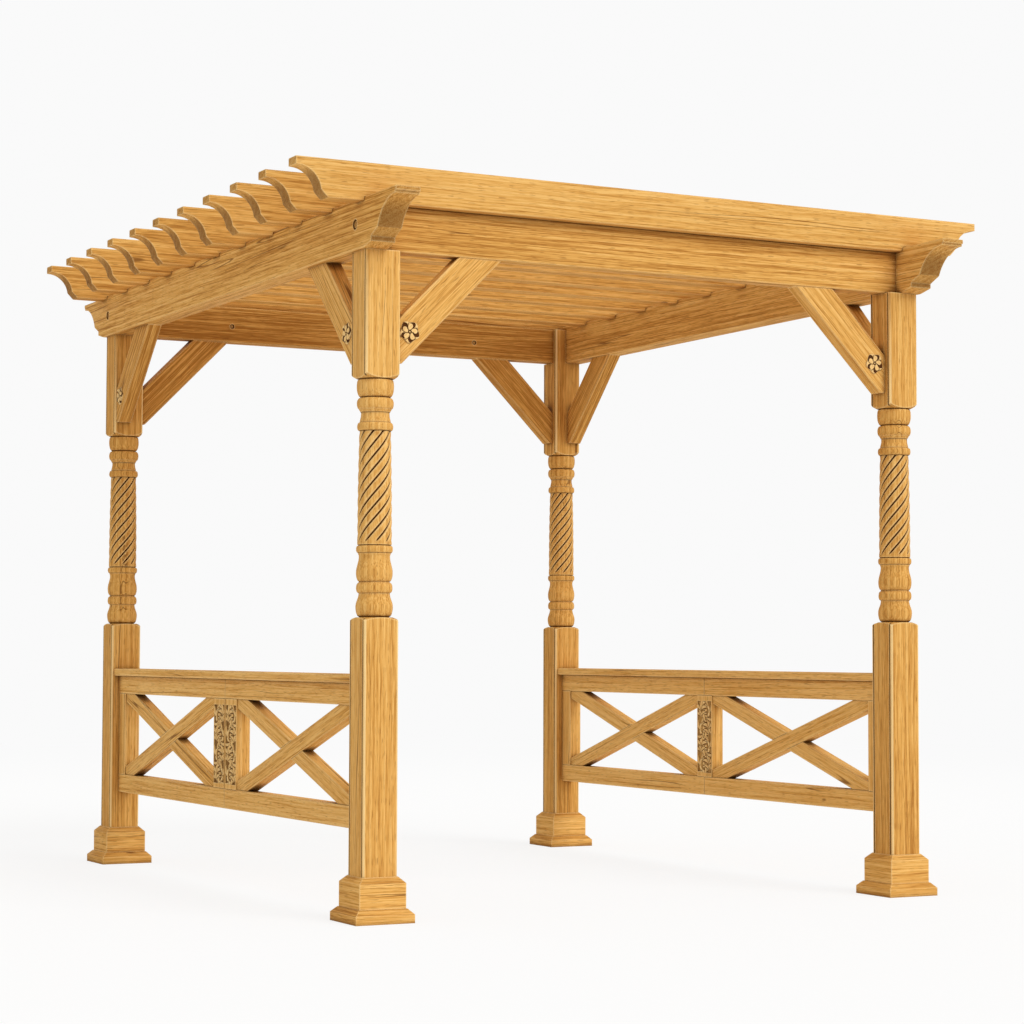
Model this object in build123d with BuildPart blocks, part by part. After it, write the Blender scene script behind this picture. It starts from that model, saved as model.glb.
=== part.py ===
from build123d import *
import os
from math import atan2, cos, degrees, hypot, pi, sin, sqrt

# Garden pergola in timber, an open frame on four turned posts.
# Millimetres, origin on the ground at the middle of the plan, X to the right along the rafters,
# Y from front to back along the side beams, Z up.

# Posts stand on a rectangle in plan and carry the beams at the seat
post_spacing_x = 2446
post_spacing_y = 2980
post_width = 144
shaft_top = 1156
block_bottom = 2072
beam_seat = 2566
timber_ease = 3

# Turned part of a post, from the shaft up: bun, bead, vase, bead, spiral reeds, bead, neck, bead, bun
pommel_drop = 24
lower_bun_height = 99
lower_bead_height = 37
vase_height = 101
collar_height = 39
crown_bead_height = 40
neck_height = 38
upper_bead_height = 46
upper_bun_height = 77

# Straight bands that make up each bulge of the turned part
bun_band_count = 3
vase_band_count = 3
bead_band_count = 2

# Radii of the turned part, as shares of half the post's width
pommel_share = 0.93
belly_share = 1.0
bead_share = 0.97
crown_share = 0.85
waist_share = 0.76
reed_share = 0.89

# Height of the widest point of each bulge, as a share of the bulge's own height
bun_belly_share = 0.44
vase_belly_share = 0.40
bead_belly_share = 0.60

# Spiral reeding, broad bands parted by narrow grooves that climb to the right
reed_count = 9
reed_depth = 6
reed_turn = 360
groove_share = 0.20

# Plinth base, two tiers of mitred boards boxed round the foot of a post
plinth_width = 245
plinth_height = 54
plinth_bevel = 21
collar_width = 194
base_height = 174
collar_bevel = 24

# Side beams lie along Y on the post tops, a little proud of the posts' outer faces
side_beam_thickness = 104
side_beam_height = 194
side_beam_proud = 18
side_beam_overhang = 298

# Moulded end of a side beam, from the tip inwards and from the top down: nose, band, cove, heel, toe
side_beam_nose = 18
side_beam_band = 10
side_beam_band_setback = 8
side_beam_cove = 164
side_beam_foot = 62
side_beam_heel = 60
side_beam_toe = 35
side_beam_toe_lip = 19
side_beam_runout = 72

# Front and back beams lie along X between the side beams, centred over the posts
cross_beam_thickness = 80

# Rafters lie along X, notched over the side beams
rafter_count = 11
rafter_thickness = 76
rafter_depth = 150
rafter_notch = 17
rafter_overhang = 283
end_rafter_offset = 50

# Moulded end of a rafter: nose, lip, cove, heel
rafter_nose = 32
rafter_lip = 5
rafter_cove = 104
rafter_foot = 30
rafter_heel = 29

# Knee braces at forty-five degrees from each post to the two beams that it carries
brace_thickness = 68
brace_width = 132
brace_reach = 455
brace_nose = 24
side_brace_setback = 8

# Side rails between the posts, a cross-braced frame under a cap
rail_top = 938
rail_bottom = 344
cap_width = 120
cap_thickness = 34
frame_depth = 64
frame_width = 86
centre_stile_width = 132
centre_stile_gap = 8
left_stile_count = 2
right_stile_count = 1
diagonal_width = 72
diagonal_depth = 52
joint_groove = 4

# Length of a forty-five degree cut over the width that it crosses
mitre_share = sqrt(2)

# Length by which a cutting shape passes the surface that it cuts
overrun = 5

# Places worked out from the sizes above
post_x = post_spacing_x / 2
post_y = post_spacing_y / 2
post_inner_x = post_x - post_width / 2
post_inner_y = post_y - post_width / 2
side_beam_outer = post_x + post_width / 2 + side_beam_proud
side_beam_inner = side_beam_outer - side_beam_thickness
side_beam_x = side_beam_outer - side_beam_thickness / 2
side_beam_half_length = post_y + post_width / 2 + side_beam_overhang
rafter_bottom = beam_seat + side_beam_height - rafter_notch
rafter_half_length = side_beam_outer + rafter_overhang
rafter_spacing = (post_spacing_y + 2 * end_rafter_offset) / (rafter_count - 1)
cross_beam_height = rafter_bottom - beam_seat
cross_beam_inner_y = post_y - cross_beam_thickness / 2
side_brace_x = post_x + post_width / 2 - side_brace_setback - brace_thickness / 2

sides = {"left": -1, "right": 1}
ends = {"front": -1, "back": 1}

os.makedirs("parts", exist_ok=True)


def save(piece, name):
    """Label a finished piece and write it under its own name."""
    piece.part.label = name
    export_step(piece.part, f"parts/{name}.step")


def bulge(foot, widest, top, bands):
    """Turned bulge from its foot over its widest point to its top, on two quarters of an ellipse."""
    points = []
    for band in range(bands + 1):
        angle = pi * (band / bands - 1 / 2)
        radius, height = foot if angle < 0 else top
        points.append((radius + (widest[0] - radius) * cos(angle),
                       widest[1] + abs(height - widest[1]) * sin(angle)))
    Polyline(*points)


# Heights of the turned part
half_width = post_width / 2
bun_top = shaft_top + lower_bun_height
bead_top = bun_top + lower_bead_height
vase_top = bead_top + vase_height
reeds_bottom = vase_top + collar_height
upper_bun_bottom = block_bottom - upper_bun_height
neck_top = upper_bun_bottom - upper_bead_height
crown_bead_top = neck_top - neck_height
reeds_top = crown_bead_top - crown_bead_height

# Spiral reeds, a grooved section twisted as it rises
reed_crest = half_width * reed_share
reed_root = reed_crest - reed_depth


def reed_point(step, radius):
    """Point of the reeded section, a number of reeds round from the X axis."""
    angle = 2 * pi * step / reed_count
    return (radius * cos(angle), radius * sin(angle))


with BuildSketch(Plane.XY.offset(reeds_bottom)) as reed_section:
    with BuildLine():
        outline = []
        for reed in range(reed_count):
            outline.append(reed_point(reed, reed_root))
            outline.append(reed_point(reed + groove_share / 2, reed_crest))
            outline.append(reed_point(reed + 1 - groove_share / 2, reed_crest))
        Polyline(*outline, close=True)
    make_face()

reeds = Solid.extrude_linear_with_rotation(
    reed_section.sketch.face(), (0, 0, reeds_bottom), (0, 0, reeds_top - reeds_bottom), reed_turn)

# Post blank, a squared timber turned between its shaft and its block
with BuildPart() as turned_post:
    Box(post_width, post_width, rafter_bottom, align=(Align.CENTER, Align.CENTER, Align.MIN))
    chamfer(turned_post.edges().filter_by(Axis.Z), timber_ease)
    blank = half_width * mitre_share
    pommel = half_width * pommel_share
    belly = half_width * belly_share
    bead = half_width * bead_share
    crown = half_width * crown_share
    waist = half_width * waist_share
    with BuildSketch(Plane.XZ):
        with BuildLine():
            Polyline((0, 0), (blank, 0), (blank, shaft_top - pommel_drop), (pommel, shaft_top),
                     (waist, shaft_top))
            bulge((waist, shaft_top), (belly, shaft_top + lower_bun_height * bun_belly_share),
                  (crown, bun_top), bun_band_count)
            bulge((crown, bun_top), (bead, bun_top + lower_bead_height * bead_belly_share),
                  (waist, bead_top), bead_band_count)
            bulge((waist, bead_top), (belly, bead_top + vase_height * vase_belly_share),
                  (crown, vase_top), vase_band_count)
            bulge((crown, vase_top), (bead, vase_top + collar_height * bead_belly_share),
                  (waist, reeds_bottom), bead_band_count)
            Line((waist, reeds_bottom), (waist, reeds_top))
            bulge((waist, reeds_top), (bead, reeds_top + crown_bead_height * bead_belly_share),
                  (waist, crown_bead_top), bead_band_count)
            Line((waist, crown_bead_top), (waist, neck_top))
            bulge((waist, neck_top), (bead, neck_top + upper_bead_height * bead_belly_share),
                  (waist, upper_bun_bottom), bead_band_count)
            bulge((waist, upper_bun_bottom), (belly, block_bottom - upper_bun_height * bun_belly_share),
                  (pommel, block_bottom), bun_band_count)
            Polyline((pommel, block_bottom), (blank, block_bottom + pommel_drop), (blank, rafter_bottom),
                     (0, rafter_bottom), (0, 0))
        make_face()
    revolve(axis=Axis.Z, mode=Mode.INTERSECT)
    add(reeds)

# Posts, cut at the top to seat both beams, with the inner corner left standing as a horn
for end, sy in ends.items():
    for side, sx in sides.items():
        with BuildPart() as post:
            with Locations((sx * post_x, sy * post_y, 0)):
                add(turned_post.part)
            seat_height = cross_beam_height + overrun
            seat_width = post_width + 2 * overrun
            with Locations((sx * (side_beam_inner + seat_width / 2), sy * post_y,
                            beam_seat + seat_height / 2)):
                Box(seat_width, seat_width, seat_height, mode=Mode.SUBTRACT)
            with Locations((sx * post_x, sy * (cross_beam_inner_y + seat_width / 2),
                            beam_seat + seat_height / 2)):
                Box(seat_width, seat_width, seat_height, mode=Mode.SUBTRACT)
        save(post, f"{end}_{side}_post")

        with BuildPart() as base:
            with Locations((sx * post_x, sy * post_y, 0)):
                Box(plinth_width, plinth_width, plinth_height,
                    align=(Align.CENTER, Align.CENTER, Align.MIN))
            chamfer(base.faces().sort_by(Axis.Z)[-1].edges(), plinth_bevel)
            with Locations((sx * post_x, sy * post_y, 0)):
                Box(collar_width, collar_width, base_height,
                    align=(Align.CENTER, Align.CENTER, Align.MIN))
            chamfer(base.faces().sort_by(Axis.Z)[-1].edges(), collar_bevel)
            with Locations((sx * post_x, sy * post_y, base_height / 2)):
                Box(post_width, post_width, base_height + 2 * overrun, mode=Mode.SUBTRACT)
        save(base, f"{end}_{side}_base")


def moulded_timber(plane, half_length, depth, thickness, brow, cove_end, tail):
    """Eased timber along the plane's x, underside on y = 0, both ends sawn to a brow, a cove and a tail.

    The points of the moulding are distances in from the tip and up from the underside, and the cove
    leaves the brow level.
    """
    with BuildPart() as timber:
        with BuildSketch(plane):
            with Locations((0, depth / 2)):
                Rectangle(2 * half_length, depth)
        extrude(amount=thickness / 2, both=True)
        chamfer(timber.edges().sort_by(SortBy.LENGTH)[-4:], timber_ease)

        brow_line = [(half_length - inward, up) for inward, up in brow]
        cove_foot, *tail_line = [(half_length - inward, up) for inward, up in [cove_end, *tail]]
        cove_head = brow_line[-1]
        beyond = half_length + overrun
        with BuildSketch(plane.offset(-thickness / 2 - overrun)):
            with BuildLine():
                Polyline((beyond, brow_line[0][1]), *brow_line)
                TangentArc(cove_head, cove_foot, tangent=(-1, 0))
                Polyline(cove_foot, *tail_line, (tail_line[-1][0], -overrun), (beyond, -overrun),
                         (beyond, brow_line[0][1]))
            make_face()
            mirror(about=Plane.YZ)
        extrude(amount=thickness + 2 * overrun, mode=Mode.SUBTRACT)
    return timber


# Side beams
nose_bottom = side_beam_height - side_beam_nose
heel_in = side_beam_cove + side_beam_heel
beam_brow = [(0, nose_bottom), (side_beam_band_setback, nose_bottom),
             (side_beam_band_setback, nose_bottom - side_beam_band)]
beam_tail = [(heel_in, side_beam_toe), (heel_in, side_beam_toe - side_beam_toe_lip),
             (heel_in + side_beam_runout, 0)]
for side, sx in sides.items():
    side_beam = moulded_timber(
        Plane(origin=(sx * side_beam_x, 0, beam_seat), x_dir=(0, 1, 0), z_dir=(1, 0, 0)),
        side_beam_half_length, side_beam_height, side_beam_thickness,
        beam_brow, (side_beam_cove, side_beam_foot), beam_tail)
    save(side_beam, f"{side}_beam")

# Front and back beams, butted between the side beams under the end rafters
for end, sy in ends.items():
    with BuildPart() as cross_beam:
        with Locations((0, sy * post_y, beam_seat)):
            Box(2 * side_beam_inner, cross_beam_thickness, cross_beam_height,
                align=(Align.CENTER, Align.CENTER, Align.MIN))
        chamfer(cross_beam.edges().filter_by(Axis.X), timber_ease)
    save(cross_beam, f"{end}_beam")

# Rafters
rafter_brow = [(0, rafter_depth - rafter_nose), (rafter_lip, rafter_depth - rafter_nose)]
rafter_tail = [(rafter_cove + rafter_heel, 0)]
for number in range(rafter_count):
    rafter_y = (number - (rafter_count - 1) / 2) * rafter_spacing
    rafter = moulded_timber(
        Plane(origin=(0, rafter_y, rafter_bottom), x_dir=(1, 0, 0), z_dir=(0, -1, 0)),
        rafter_half_length, rafter_depth, rafter_thickness,
        rafter_brow, (rafter_cove, rafter_foot), rafter_tail)
    with rafter:
        with Locations(*[(sx * side_beam_x, rafter_y, rafter_bottom) for sx in sides.values()]):
            Box(side_beam_thickness, rafter_thickness + 2 * overrun, 2 * rafter_notch, mode=Mode.SUBTRACT)
    save(rafter, f"rafter_{number + 1}")


def knee_brace(plane):
    """Brace in the plane, whose origin is where the post's face meets the beam's underside."""
    cut_length = brace_width * mitre_share
    with BuildPart() as brace:
        with BuildSketch(plane):
            with BuildLine():
                Polyline((0, brace_nose - brace_reach), (0, cut_length - brace_reach),
                         (brace_reach - cut_length, 0), (brace_reach, 0),
                         (brace_nose, brace_nose - brace_reach), (0, brace_nose - brace_reach))
            make_face()
        extrude(amount=brace_thickness / 2, both=True)
        chamfer(brace.edges().sort_by(SortBy.LENGTH)[-4:], timber_ease)
    return brace


# Knee braces, one to the front or back beam and one to the side beam at each post
for end, sy in ends.items():
    for side, sx in sides.items():
        cross_brace = knee_brace(Plane(origin=(sx * post_inner_x, sy * post_y, beam_seat),
                                       x_dir=(-sx, 0, 0), z_dir=(0, sx, 0)))
        save(cross_brace, f"{end}_{side}_cross_brace")
        side_brace = knee_brace(Plane(origin=(sx * side_brace_x, sy * post_inner_y, beam_seat),
                                      x_dir=(0, -sy, 0), z_dir=(-sy, 0, 0)))
        save(side_brace, f"{end}_{side}_side_brace")

# Side rails: cap, top and bottom rail, stiles and crossed diagonals in two bays
centre_stile_counts = {"left": left_stile_count, "right": right_stile_count}
frame_length = 2 * post_inner_y
frame_top = rail_top - cap_thickness
bay_bottom = rail_bottom + frame_width
bay_top = frame_top - frame_width
bay_height = bay_top - bay_bottom
bay_outer = post_inner_y - frame_width

for side, sx in sides.items():
    stile_count = centre_stile_counts[side]
    stile_pitch = centre_stile_width + centre_stile_gap
    bay_inner = (stile_count * stile_pitch - centre_stile_gap) / 2
    bay_width = bay_outer - bay_inner
    bay_middle = (bay_outer + bay_inner) / 2
    bay_angle = degrees(atan2(bay_height, bay_width))
    bay_diagonal = hypot(bay_width, bay_height)
    rail_plane = Plane(origin=(sx * post_x, 0, (bay_bottom + bay_top) / 2), x_dir=(0, 1, 0),
                       z_dir=(1, 0, 0))

    with BuildPart() as cap:
        with Locations((sx * post_x, 0, frame_top)):
            Box(cap_width, frame_length, cap_thickness, align=(Align.CENTER, Align.CENTER, Align.MIN))
        chamfer(cap.edges().filter_by(Axis.Y), timber_ease)
    save(cap, f"{side}_rail_cap")

    for level, bottom in {"top": bay_top, "bottom": rail_bottom}.items():
        with BuildPart() as rail:
            with Locations((sx * post_x, 0, bottom)):
                Box(frame_depth, frame_length, frame_width, align=(Align.CENTER, Align.CENTER, Align.MIN))
            chamfer(rail.edges().filter_by(Axis.Y), timber_ease)
            with Locations(*[(sx * post_x + face * frame_depth / 2, 0, bottom + frame_width / 2)
                             for face in sides.values()]):
                Box(joint_groove, joint_groove, frame_width + 2 * overrun, rotation=(0, 0, 45),
                    mode=Mode.SUBTRACT)
        save(rail, f"{side}_{level}_rail")

    with BuildPart() as end_stiles:
        with Locations(*[(sx * post_x, sy * (post_inner_y - frame_width / 2), (bay_bottom + bay_top) / 2)
                         for sy in ends.values()]):
            Box(frame_depth, frame_width, bay_height)
        chamfer(end_stiles.edges().filter_by(Axis.Z), timber_ease)
    save(end_stiles, f"{side}_end_stiles")

    with BuildPart() as centre_stiles:
        with BuildSketch(rail_plane):
            with GridLocations(stile_pitch, bay_height, stile_count, 1):
                Rectangle(centre_stile_width, bay_height)
        extrude(amount=frame_depth / 2, both=True)
        chamfer(centre_stiles.edges().filter_by(Axis.Z), timber_ease)
    save(centre_stiles, f"{side}_centre_stiles")

    with BuildPart() as diagonals:
        for sy in ends.values():
            with BuildSketch(rail_plane):
                with Locations((sy * bay_middle, 0)):
                    Rectangle(bay_width, bay_height)
                    Rectangle(bay_diagonal, diagonal_width, rotation=-bay_angle, mode=Mode.INTERSECT)
            extrude(amount=diagonal_depth / 2, both=True)
    save(diagonals, f"{side}_diagonals")

    with BuildPart() as half_diagonals:
        for sy in ends.values():
            with BuildSketch(rail_plane):
                with Locations((sy * bay_middle, 0)):
                    Rectangle(bay_width, bay_height)
                    Rectangle(bay_diagonal, diagonal_width, rotation=bay_angle, mode=Mode.INTERSECT)
                    Rectangle(bay_diagonal, diagonal_width, rotation=-bay_angle, mode=Mode.SUBTRACT)
            extrude(amount=diagonal_depth / 2, both=True)
    save(half_diagonals, f"{side}_half_diagonals")
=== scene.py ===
from math import cos, pi, radians, sin

import bpy
import numpy as np
from mathutils import Euler, Matrix, Quaternion, Vector


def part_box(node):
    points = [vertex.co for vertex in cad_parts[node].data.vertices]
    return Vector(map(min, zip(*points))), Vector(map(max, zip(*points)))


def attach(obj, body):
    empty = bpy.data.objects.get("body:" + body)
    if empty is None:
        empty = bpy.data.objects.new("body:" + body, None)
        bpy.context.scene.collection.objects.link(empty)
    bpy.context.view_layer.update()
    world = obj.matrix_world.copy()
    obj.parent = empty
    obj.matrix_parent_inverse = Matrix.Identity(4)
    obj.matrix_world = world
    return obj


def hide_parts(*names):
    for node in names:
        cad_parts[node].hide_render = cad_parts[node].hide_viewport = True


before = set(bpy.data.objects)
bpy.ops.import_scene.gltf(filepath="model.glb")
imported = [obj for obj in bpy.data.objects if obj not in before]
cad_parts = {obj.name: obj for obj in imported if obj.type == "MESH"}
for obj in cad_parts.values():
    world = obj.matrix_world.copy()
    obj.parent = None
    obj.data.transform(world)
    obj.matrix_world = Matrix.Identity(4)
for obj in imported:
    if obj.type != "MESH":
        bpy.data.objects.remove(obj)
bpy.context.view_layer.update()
bpy.ops.object.select_all(action="DESELECT")


# Plinth bases: two tiers of honey-stained softwood boards boxed round the foot of each post and
# mitred at the corners, with bevelled tops. The boards lie level, so the grain turns at each corner.
LEVEL_X = (1, 0, 0)
LEVEL_Y = (0, 1, 0)
UPRIGHT = (0, 0, 1)
board_ease = 0.0025
# The bevelled tops are a darker tone than the upright faces, as painted shade against the extra light they
# take from above.
plinth_tone, slope_shade_tone, slope_rise = 0.03, -0.05, 0.3
plinth_front_grain, plinth_side_grain = 4, 9
merge_gap, flat_angle = 0.00002, radians(0.6)
corner_angle, smooth_angle = radians(24), radians(32)


def node(tree, kind, values=None, **settings):
    """One shader node: its settings, then its sockets, each given a value or another node's socket."""
    made = tree.nodes.new("ShaderNode" + kind)
    for setting, value in settings.items():
        setattr(made, setting, value)
    for socket, value in (values or {}).items():
        if isinstance(value, bpy.types.NodeSocket):
            tree.links.new(value, made.inputs[socket])
        else:
            made.inputs[socket].default_value = value
    return made


def maths(tree, operation, *values):
    """The result of one Math node."""
    return node(tree, "Math", dict(enumerate(values)), operation=operation).outputs[0]


def ramped(tree, value, start, end, low=0.0, high=1.0):
    """A value eased from low to high while it goes from start to end."""
    sockets = {"Value": value, 1: start, 2: end, 3: low, 4: high}
    return node(tree, "MapRange", sockets, interpolation_type="SMOOTHSTEP").outputs[0]


def tinted(tree, factor, colour, tint):
    """A colour changed towards a tint by a factor."""
    return node(tree, "Mix", {0: factor, 6: colour, 7: tint}, data_type="RGBA").outputs[2]


# Marks of the grain, each with its length along the timber and its width across it.
board_mark, band_mark, streak_mark = (1.9, 0.21), (0.95, 0.021), (0.48, 0.0054)
fibre_mark, pore_mark = (0.11, 0.0032), (0.045, 0.0024)
shake_mark, shaken_mark = (2.1, 0.055), (0.9, 0.13)
knot_spread = (1.9, 4.9, 4.9)
heart_place, ring_scale, ring_waver = (0.0, 0.43, 0.27), 13.0, 5.0
timber_steps = (3.7, 1.3, 2.1)
# How far each mark makes the wood paler or darker, and how far it stands up or is sunk.
figure_start, noise_mean = -0.065, 0.5
band_weight, fibre_weight, board_weight, ring_weight = 0.34, 0.75, 0.30, -0.18
fibre_relief, streak_relief, pore_relief, shake_relief = 0.5, 0.5, -0.35, -0.8
relief_strength, relief_height = 0.4, 0.0016
# Where each mark begins and where it is full, on the scale of what it is read from.
pore_range, shaken_range, shake_range = (0.64, 0.74), (0.56, 0.64), (0.002, 0.011)
knot_range, knot_rarity = (0.026, 0.052), 0.80
end_range, edge_range, open_range = (0.20, 0.85), (0.84, 0.995), (0.55, 0.92)
hollow_range, crevice_range, satin_range = (0.10, 0.65), (0.30, 0.85), (0.25, 0.75)
# Below the brow of a moulded end, the sawn end is darker still, as painted shade under the nose; above it,
# it takes only a share of the end's stain.
brow_below, brow_above, brow_share = 0.010, 0.002, 0.45
# Colours of the stained wood from its darkest lines to its palest, then each mark's colour and share.
grain_colours = [
    (0.25, (0.42, 0.178, 0.034, 1)), (0.45, (0.65, 0.325, 0.076, 1)),
    (0.60, (0.76, 0.420, 0.116, 1)), (0.82, (0.86, 0.520, 0.175, 1)),
]
pore_colour, pore_share = (0.25, 0.095, 0.019, 1), 0.45
shake_colour, shake_share = (0.17, 0.060, 0.013, 1), 0.75
knot_colour, knot_share = (0.20, 0.070, 0.015, 1), 0.75
end_stain_and_shade_colour, end_share = (0.18, 0.074, 0.019, 1), 0.5
# Pale worn edges, which also stand as painted highlights along the edges.
edge_wear_and_highlight_colour, edge_wear_and_highlight_share, edge_reach = (0.97, 0.720, 0.350, 1), 0.66, 0.011
# Pale worn crests of turning and carving, which also stand as painted highlights.
crest_wear_and_highlight_colour, crest_wear_and_highlight_share = (1.0, 0.750, 0.370, 1), 0.85
# Painted shade in the grooves, quirks, scratched lines, carved ground and gouged pockets.
hollow_shade_colour = (0.055, 0.010, 0.001, 1)
# Painted shade in crevices, at joints and under overhangs.
crevice_shade_colour, crevice_shade_share, crevice_reach = (0.115, 0.036, 0.006, 1), 0.74, 0.045
dull, satin, timber_specular = 0.66, 0.52, 0.03


def timber_grain(tree, turned, tone, vigour):
    """The grain along the first axis of turned coordinates: its colour, its relief and its fibres."""
    def noise(mark, detail, roughness=0.5, distortion=0.0):
        length, width = mark
        scale = (1 / length, 1 / width, 1 / width)
        stretched = node(tree, "VectorMath", {0: turned, 1: scale}, operation="MULTIPLY").outputs[0]
        return node(tree, "TexNoise", {
            "Vector": stretched, "Scale": 1.0, "Detail": detail,
            "Roughness": roughness, "Distortion": distortion,
        }).outputs[0]

    streaks = noise(streak_mark, 2.0, 0.6, 0.1)
    fibres = noise(fibre_mark, 2.0, 0.6)
    pores = ramped(tree, noise(pore_mark, 0.0), *pore_range)
    off_heart = node(tree, "VectorMath", {0: turned, 1: heart_place}, operation="ADD").outputs[0]
    rings = node(tree, "TexWave", {
        "Vector": off_heart, "Scale": ring_scale, "Distortion": ring_waver,
        "Detail": 2.0, "Detail Scale": 0.16, "Detail Roughness": 0.55,
    }, wave_type="RINGS", rings_direction="X", wave_profile="SAW").outputs[1]

    figure = maths(tree, "MULTIPLY_ADD", streaks, vigour, tone + figure_start - noise_mean * vigour)
    for mark, weight in ((noise(band_mark, 2.0), band_weight), (fibres, fibre_weight),
                         (noise(board_mark, 1.0), board_weight), (rings, ring_weight)):
        figure = maths(tree, "MULTIPLY_ADD", mark, weight, figure)
    tones = node(tree, "ValToRGB", {0: figure})
    ramp = tones.color_ramp
    ramp.elements.remove(ramp.elements[1])
    ramp.elements[0].position, ramp.elements[0].color = grain_colours[0]
    for position, wood in grain_colours[1:]:
        ramp.elements.new(position).color = wood
    colour = tinted(tree, maths(tree, "MULTIPLY", pores, pore_share), tones.outputs[0], pore_colour)

    contour = maths(tree, "ABSOLUTE", maths(tree, "SUBTRACT", noise(shake_mark, 1.0), noise_mean))
    shaken = ramped(tree, noise(shaken_mark, 0.0), *shaken_range)
    shakes = maths(tree, "MULTIPLY", ramped(tree, contour, *shake_range, shake_share, 0.0), shaken)
    colour = tinted(tree, shakes, colour, shake_colour)

    knot_place = node(tree, "VectorMath", {0: turned, 1: knot_spread}, operation="MULTIPLY").outputs[0]
    cells = node(tree, "TexVoronoi", {"Vector": knot_place, "Scale": 1.0})
    chance = node(tree, "SeparateColor", {0: cells.outputs[1]}).outputs[0]
    rare = maths(tree, "GREATER_THAN", chance, knot_rarity)
    knots = maths(tree, "MULTIPLY", ramped(tree, cells.outputs[0], *knot_range, knot_share, 0.0), rare)
    colour = tinted(tree, knots, colour, knot_colour)

    relief = maths(tree, "MULTIPLY", streaks, streak_relief)
    for mark, height in ((fibres, fibre_relief), (pores, pore_relief), (shakes, shake_relief)):
        relief = maths(tree, "MULTIPLY_ADD", mark, height, relief)
    return colour, relief, fibres


def timber_wear(tree, colour, run, end_stain_and_shade, brow, carved):
    """A timber's colour: ends darker with stain, painted shade below a brow, in hollows and in crevices, and
    pale worn edges and crests that are partly painted highlights.
    """
    facing = node(tree, "NewGeometry").outputs["Normal"]

    def turned_to(axis):
        return node(tree, "VectorMath", {0: facing, 1: axis}, operation="DOT_PRODUCT").outputs["Value"]

    # Sawn ends are darker with stain, and below the brow darker still, as painted shade under the nose.
    ends_stained_and_shaded = ramped(tree, maths(tree, "ABSOLUTE", turned_to(run)), *end_range, 0.0, end_stain_and_shade)
    if brow is not None:
        place = node(tree, "TexCoord").outputs["Object"]
        height = node(tree, "SeparateXYZ", {0: place}).outputs["Z"]
        below = ramped(tree, height, brow - brow_below, brow + brow_above, 1.0, brow_share)
        ends_stained_and_shaded = maths(tree, "MULTIPLY", ends_stained_and_shaded, below)
    colour = tinted(tree, ends_stained_and_shaded, colour, end_stain_and_shade_colour)
    # Pale worn edges, partly painted highlights, kept off the inside corners.
    smoothed = node(tree, "Bevel", {"Radius": edge_reach}, samples=4).outputs[0]
    close = node(tree, "AmbientOcclusion", {"Distance": crevice_reach}, samples=4).outputs["AO"]
    edges = ramped(tree, turned_to(smoothed), *edge_range, edge_wear_and_highlight_share, 0.0)
    edges = maths(tree, "MULTIPLY", edges, ramped(tree, close, *open_range))
    colour = tinted(tree, edges, colour, edge_wear_and_highlight_colour)
    if carved:
        # Pale crests on carved pieces: wear, and partly painted highlights.
        crest_wear_and_highlight = node(tree, "Attribute", attribute_name="crest_wear_and_highlight").outputs["Fac"]
        colour = tinted(tree, maths(tree, "MULTIPLY", crest_wear_and_highlight, crest_wear_and_highlight_share), colour, crest_wear_and_highlight_colour)
        # Painted shade where a carved piece marks its recesses.
        hollow_shade = node(tree, "Attribute", attribute_name="hollow_shade").outputs["Fac"]
        colour = tinted(tree, ramped(tree, hollow_shade, *hollow_range, 0.0, carved), colour, hollow_shade_colour)
    # Painted shade where little open space is near: crevices, joints and the undersides of overhangs.
    crevice_shade = ramped(tree, close, *crevice_range, crevice_shade_share, 0.0)
    return tinted(tree, crevice_shade, colour, crevice_shade_colour)


def honey_timber(name, along, grain, tone, end_stain_and_shade=end_share, brow=None, carved=0.0, vigour=1.0):
    """Softwood with a honey stain and fine grain along one direction, pores, knots, shakes, and pale worn
    edges that are partly painted highlights.

    Sawn ends take more stain, and below the height of the brow, where there is one, they are darker still as
    painted shade under the nose; carved hollows and crevices are painted dark as shade.
    Each number for the grain is another stretch of the same wood, and vigour is how strong its streaks
    are."""
    material = bpy.data.materials.new(name)
    material.use_nodes = True
    tree = material.node_tree
    shader = tree.nodes["Principled BSDF"]
    run = Vector(along).normalized()
    side = Vector(LEVEL_X if abs(run.y) > 0.5 else LEVEL_Y)
    turned = node(tree, "Mapping", {
        "Vector": node(tree, "TexCoord").outputs["Object"],
        "Location": tuple(grain * step for step in timber_steps),
        "Rotation": Matrix((run, side, run.cross(side))).to_euler(),
    }).outputs[0]
    colour, relief, fibres = timber_grain(tree, turned, tone, vigour)
    colour = timber_wear(tree, colour, run, end_stain_and_shade, brow, carved)
    bump = node(tree, "Bump", {"Strength": relief_strength, "Distance": relief_height, "Height": relief})
    tree.links.new(colour, shader.inputs["Base Color"])
    tree.links.new(ramped(tree, fibres, *satin_range, dull, satin), shader.inputs["Roughness"])
    tree.links.new(bump.outputs[0], shader.inputs["Normal"])
    shader.inputs["Specular IOR Level"].default_value = timber_specular
    return material


def wear(piece, *materials):
    """Give a piece its materials, in place of those that it came with."""
    piece.data.materials.clear()
    for material in materials:
        piece.data.materials.append(material)


def smooth(piece, angle):
    """Shade a piece as one smooth surface, but for the corners sharper than an angle."""
    bpy.ops.object.select_all(action="DESELECT")
    piece.select_set(True)
    bpy.context.view_layer.objects.active = piece
    bpy.ops.object.shade_smooth_by_angle(angle=angle)


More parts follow.
